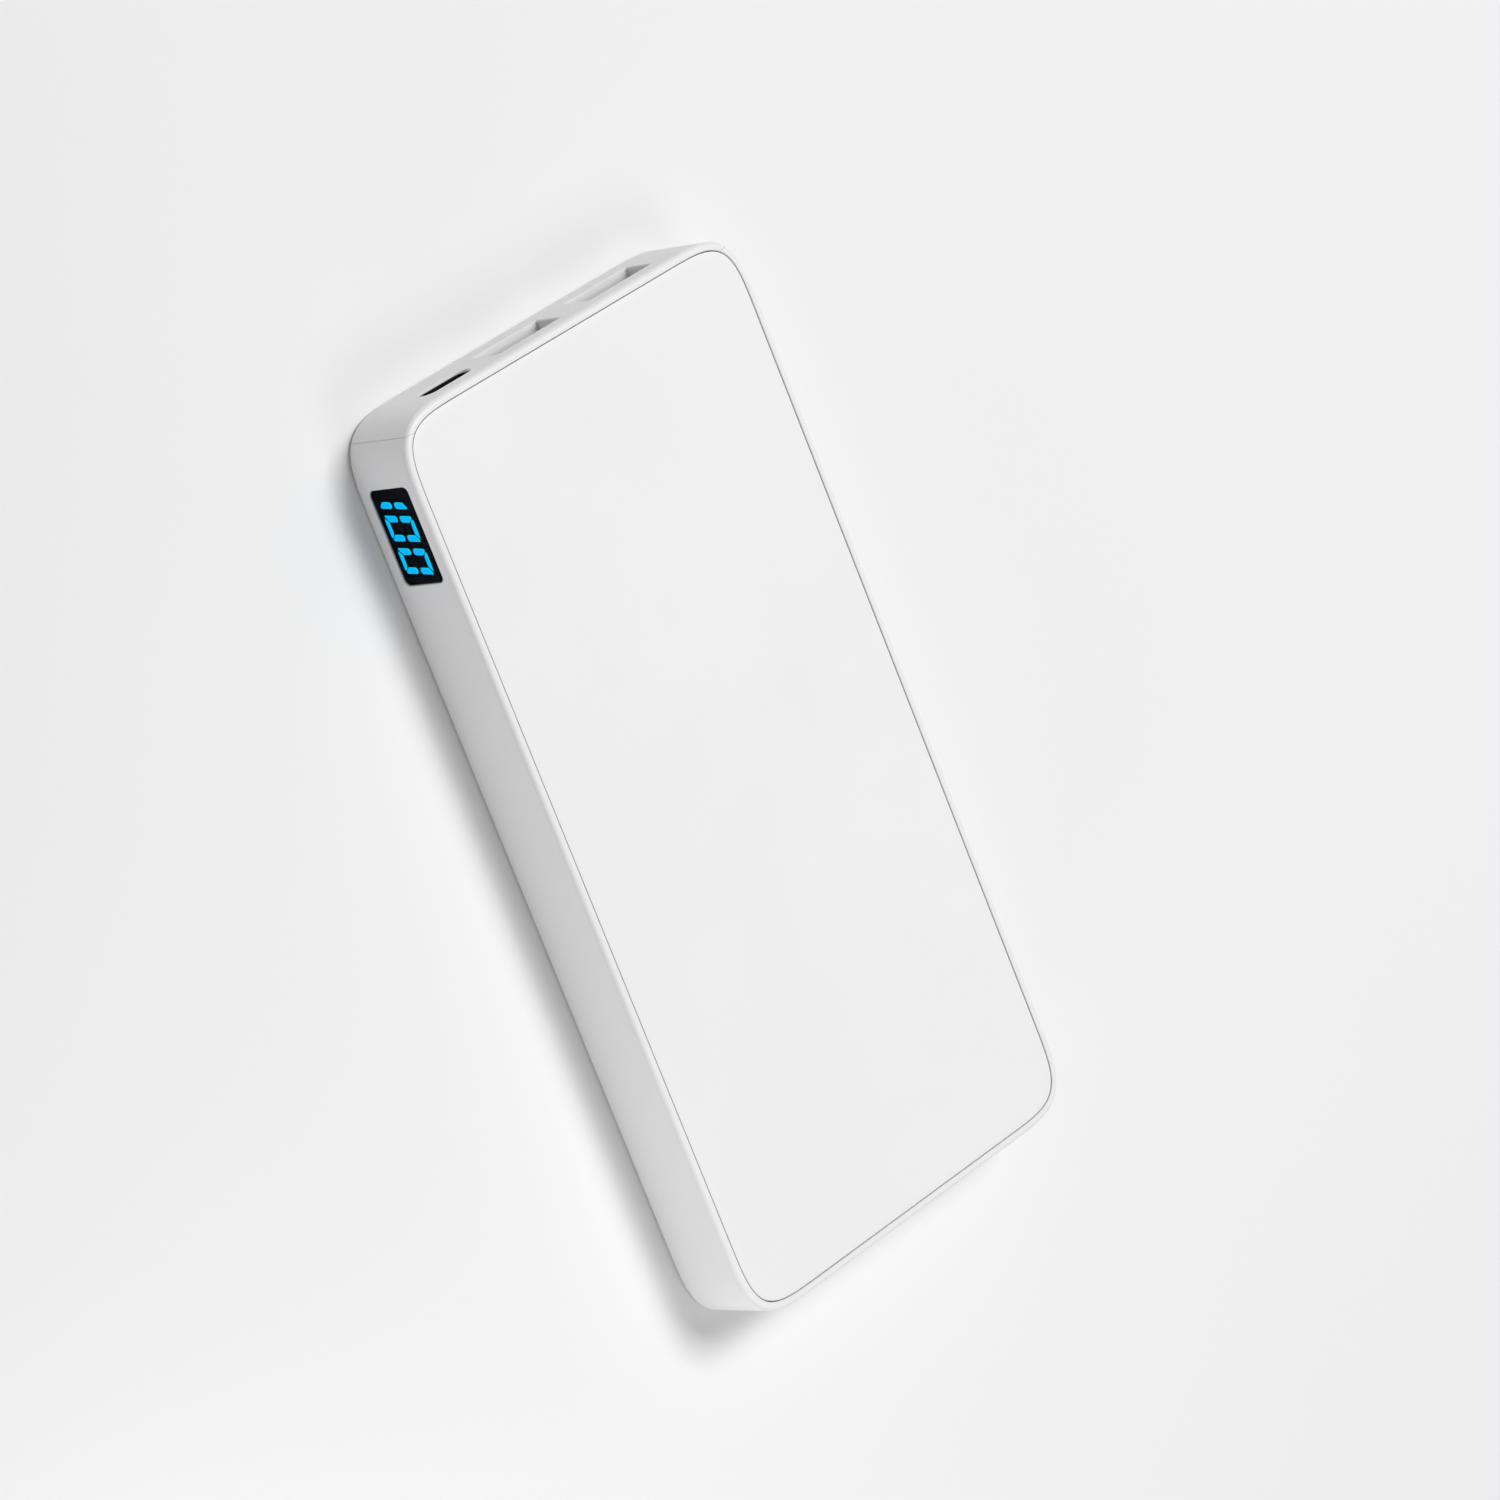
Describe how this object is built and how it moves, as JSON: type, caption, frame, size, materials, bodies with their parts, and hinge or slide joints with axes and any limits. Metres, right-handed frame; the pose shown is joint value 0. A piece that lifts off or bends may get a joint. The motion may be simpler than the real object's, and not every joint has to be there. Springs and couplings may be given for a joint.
{
  "type": "power bank",
  "caption": "Slim white power bank: a flat rounded case with standard USB sockets in one end, a lit percentage display in one long side and a flush check button in the other.",
  "frame": {"origin": "middle of the back face, on the surface that the bank lies on", "axes": "+Z out of the front panel, +Y along the bank towards the port end, +X to the right as the front is read; the display is in the -X wall and the check button in the +X wall"},
  "size_m": [0.071, 0.143, 0.013],
  "materials": {
    "frame_plastic": "white moulded plastic, fine satin texture",
    "panel_plastic": "white moulded plastic, soft matt texture",
    "smoked_lens": "smoked clear sheet, polished",
    "display_mask": "black moulded reflector, matt",
    "lit_segment": "cyan-blue lit resin",
    "unlit_segment": "dark unlit resin",
    "circuit_board": "green solder resist",
    "button_plastic": "white moulded plastic, fine satin texture",
    "switch_plunger": "black moulded plastic",
    "switch_metal": "stamped cover, satin",
    "screw_steel": "zinc plated",
    "ferrite": "sintered ferrite, dull",
    "chip_resin": "moulded epoxy, fine matt",
    "capacitor_can": "drawn can, satin",
    "usb_shell": "nickel plated stamping",
    "usb_tongue": "black moulded plastic",
    "gold_contact": "gold plated",
    "pouch_foil": "laminated pouch foil, satin",
    "amber_tape": "amber insulating film",
    "nickel": "rolled nickel strip",
    "red_sleeve": "red wire sleeve, satin",
    "black_sleeve": "black wire sleeve, satin",
    "adhesive_tape": "double-sided tissue tape, matt",
    "cell_foam": "open-cell foam, matt"
  },
  "bodies": {
    "case": {"middle_frame": "frame_plastic", "end_cap": "frame_plastic", "front_panel": "panel_plastic", "back_panel": "panel_plastic", "display_lens": "smoked_lens", "digit_mask": "display_mask", "segment_diffuser": "lit_segment", "display_board": "circuit_board", "switch_body": "switch_metal", "main_board": "circuit_board", "board_screw_1": "screw_steel", "board_screw_2": "screw_steel", "board_screw_3": "screw_steel", "board_screw_4": "screw_steel", "power_inductor": "ferrite", "controller_chip": "chip_resin", "charging_chip": "chip_resin", "switching_transistor_1": "chip_resin", "switching_transistor_2": "chip_resin", "capacitor_1": "capacitor_can", "capacitor_2": "capacitor_can", "capacitor_3": "capacitor_can", "usb_a_shell_left": "usb_shell", "usb_a_tongue_left": "usb_tongue", "usb_a_contact_left_1": "gold_contact", "usb_a_contact_left_2": "gold_contact", "usb_a_contact_left_3": "gold_contact", "usb_a_contact_left_4": "gold_contact", "usb_a_shell_right": "usb_shell", "usb_a_tongue_right": "usb_tongue", "usb_a_contact_right_1": "gold_contact", "usb_a_contact_right_2": "gold_contact", "usb_a_contact_right_3": "gold_contact", "usb_a_contact_right_4": "gold_contact", "usb_c_shell": "usb_shell", "usb_c_tongue": "usb_tongue", "battery_cell": "pouch_foil", "terrace_tape": "amber_tape", "protection_board": "circuit_board", "positive_tab": "nickel", "negative_tab": "nickel", "positive_lead": "red_sleeve", "negative_lead": "black_sleeve", "cell_tape_left": "adhesive_tape", "cell_tape_right": "adhesive_tape", "cell_foam": "cell_foam"},
    "button": {"power_button": "button_plastic", "switch_plunger": "switch_plunger"}
  },
  "joints": [
    {"name": "button_press", "type": "slide", "parent": "case", "child": "button", "axis": [-1, 0, 0], "range_m": [0, 0.0003], "stiffness_N_per_m": 4500}
  ]
}
